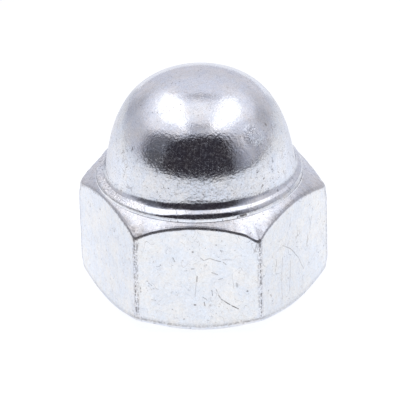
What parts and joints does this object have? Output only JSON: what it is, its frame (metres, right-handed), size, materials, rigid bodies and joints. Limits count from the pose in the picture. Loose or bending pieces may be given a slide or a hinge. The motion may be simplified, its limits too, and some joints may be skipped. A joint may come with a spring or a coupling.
{
  "type": "cap nut",
  "caption": "Hexagon cap nut with a rounded shoulder and a dome; its blind threaded hole opens at the flat face, so the dome covers the end of the screw.",
  "frame": {"origin": "middle of the flat bottom face, on the thread's axis, which is also the middle of the hexagon", "axes": "+Z from the flat face towards the dome; two corners of the hexagon point along X, and two flats face -Y and +Y, with -Y the front"},
  "size_m": [0.0196, 0.017, 0.0183],
  "materials": {
    "zinc_plate": "bright zinc plate, finely scratched and pitted"
  },
  "bodies": {
    "root": {"cap_nut": "zinc_plate"}
  },
  "joints": []
}
